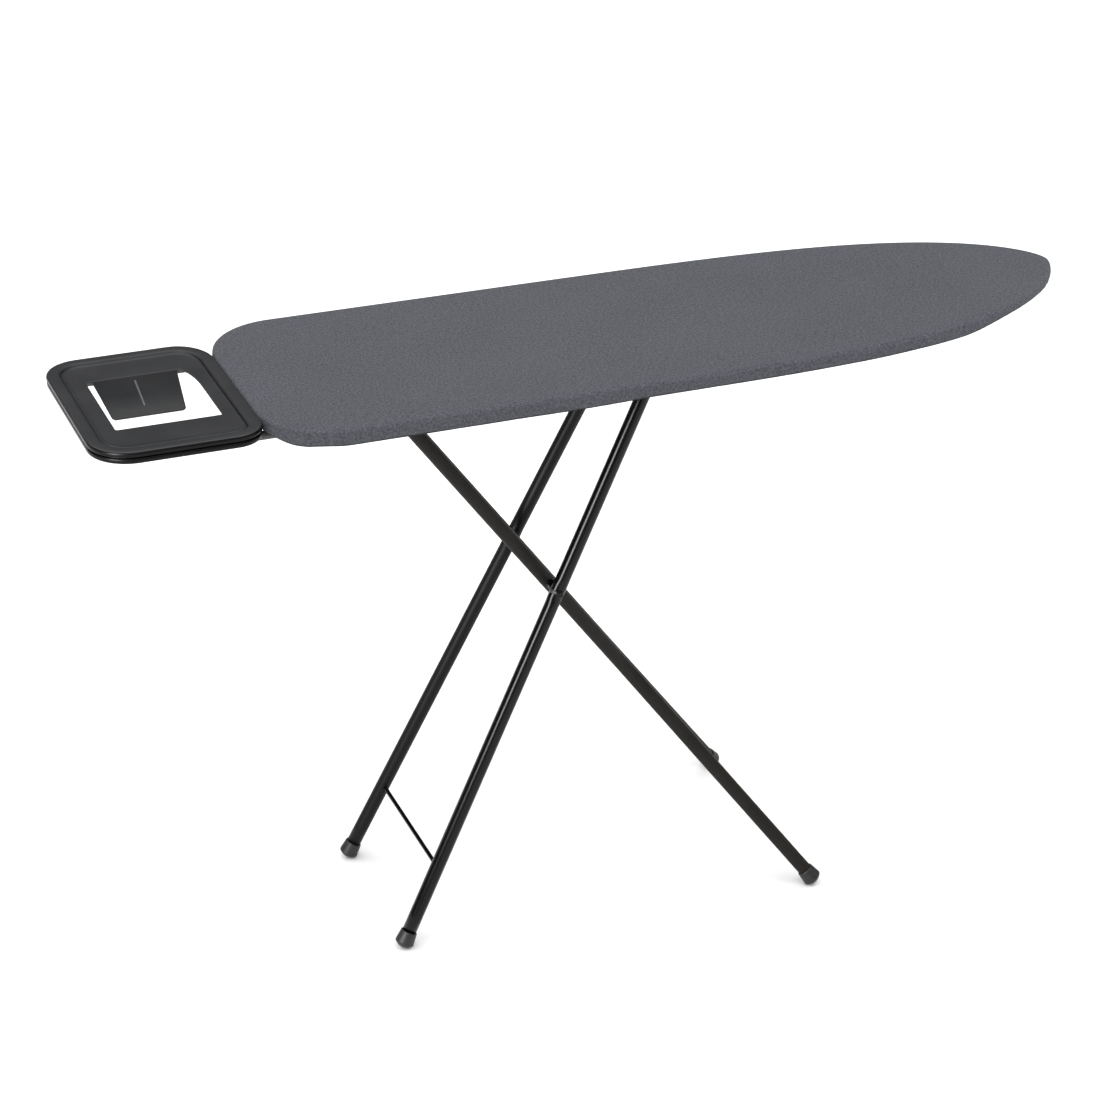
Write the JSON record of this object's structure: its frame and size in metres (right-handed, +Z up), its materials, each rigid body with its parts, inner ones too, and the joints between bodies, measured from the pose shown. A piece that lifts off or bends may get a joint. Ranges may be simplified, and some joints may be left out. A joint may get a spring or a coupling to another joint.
{
  "type": "ironing board",
  "caption": "Folding ironing board: padded fabric top with a pointed nose, moulded iron rest with an opening, and crossed tubular legs that fold flat.",
  "frame": {"origin": "on the floor below the middle of the bounding box", "axes": "+X from the iron rest to the board's nose, +Z up, +Y from the front edge to the rear edge"},
  "size_m": [1.4176, 0.391, 0.833],
  "materials": {
    "fabric_cover": "blue-grey woven cotton",
    "foam_pad": "needled felt",
    "deck_pan": "satin dark powder coat on sheet steel",
    "left_cross_rib": "satin dark powder coat on sheet steel",
    "middle_cross_rib": "satin dark powder coat on sheet steel",
    "nose_cross_rib": "satin dark powder coat on sheet steel",
    "front_hinge_bracket": "gloss black stove enamel on steel",
    "rear_hinge_bracket": "gloss black stove enamel on steel",
    "front_height_rail": "gloss black stove enamel on steel",
    "rear_height_rail": "gloss black stove enamel on steel",
    "top_hinge_pin": "zinc-plated steel",
    "iron_rest_top": "fine-grained charcoal moulding",
    "iron_rest_base": "fine-grained charcoal moulding",
    "heel_plate": "fine-grained charcoal moulding",
    "front_rest_arm": "gloss black stove enamel on steel",
    "rear_rest_arm": "gloss black stove enamel on steel",
    "rest_screws": "zinc-plated steel",
    "arm_screws": "zinc-plated steel",
    "inner_front_leg": "gloss black stove enamel on steel",
    "inner_rear_leg": "gloss black stove enamel on steel",
    "inner_hinge_tube": "gloss black stove enamel on steel",
    "inner_cross_wire": "gloss black stove enamel on steel",
    "inner_front_foot": "dark grey moulded plastic",
    "inner_rear_foot": "dark grey moulded plastic",
    "front_crossing_rivet": "zinc-plated steel",
    "rear_crossing_rivet": "zinc-plated steel",
    "front_crossing_spacer": "zinc-plated steel",
    "rear_crossing_spacer": "zinc-plated steel",
    "outer_front_leg": "gloss black stove enamel on steel",
    "outer_rear_leg": "gloss black stove enamel on steel",
    "outer_top_bar": "gloss black stove enamel on steel",
    "bar_end_caps": "dark grey moulded plastic",
    "outer_cross_wire": "gloss black stove enamel on steel",
    "outer_front_foot": "dark grey moulded plastic",
    "outer_rear_foot": "dark grey moulded plastic"
  },
  "bodies": {
    "board": {"fabric_cover": "fabric_cover", "foam_pad": "foam_pad", "deck_pan": "deck_pan", "left_cross_rib": "left_cross_rib", "middle_cross_rib": "middle_cross_rib", "nose_cross_rib": "nose_cross_rib", "front_hinge_bracket": "front_hinge_bracket", "rear_hinge_bracket": "rear_hinge_bracket", "front_height_rail": "front_height_rail", "rear_height_rail": "rear_height_rail", "top_hinge_pin": "top_hinge_pin", "iron_rest_top": "iron_rest_top", "iron_rest_base": "iron_rest_base", "heel_plate": "heel_plate", "front_rest_arm": "front_rest_arm", "rear_rest_arm": "rear_rest_arm", "rest_screws": "rest_screws", "arm_screws": "arm_screws"},
    "inner_frame": {"inner_front_leg": "inner_front_leg", "inner_rear_leg": "inner_rear_leg", "inner_hinge_tube": "inner_hinge_tube", "inner_cross_wire": "inner_cross_wire", "inner_front_foot": "inner_front_foot", "inner_rear_foot": "inner_rear_foot", "front_crossing_rivet": "front_crossing_rivet", "rear_crossing_rivet": "rear_crossing_rivet", "front_crossing_spacer": "front_crossing_spacer", "rear_crossing_spacer": "rear_crossing_spacer"},
    "outer_frame": {"outer_front_leg": "outer_front_leg", "outer_rear_leg": "outer_rear_leg", "outer_top_bar": "outer_top_bar", "bar_end_caps": "bar_end_caps", "outer_cross_wire": "outer_cross_wire", "outer_front_foot": "outer_front_foot", "outer_rear_foot": "outer_rear_foot"}
  },
  "joints": [
    {"name": "inner_frame_fold", "type": "hinge", "parent": "board", "child": "inner_frame", "pos_m": [-0.302, 0, 0.803], "axis": [0, -1, 0], "range_deg": [0, 51]},
    {"name": "outer_frame_fold", "type": "hinge", "parent": "inner_frame", "child": "outer_frame", "pos_m": [-0.0737, 0, 0.4951], "axis": [0, 1, 0], "range_deg": [0, 112]}
  ],
  "couplings": [
    {"joint": "outer_frame_fold", "follows": "inner_frame_fold", "ratio": 2.18}
  ]
}
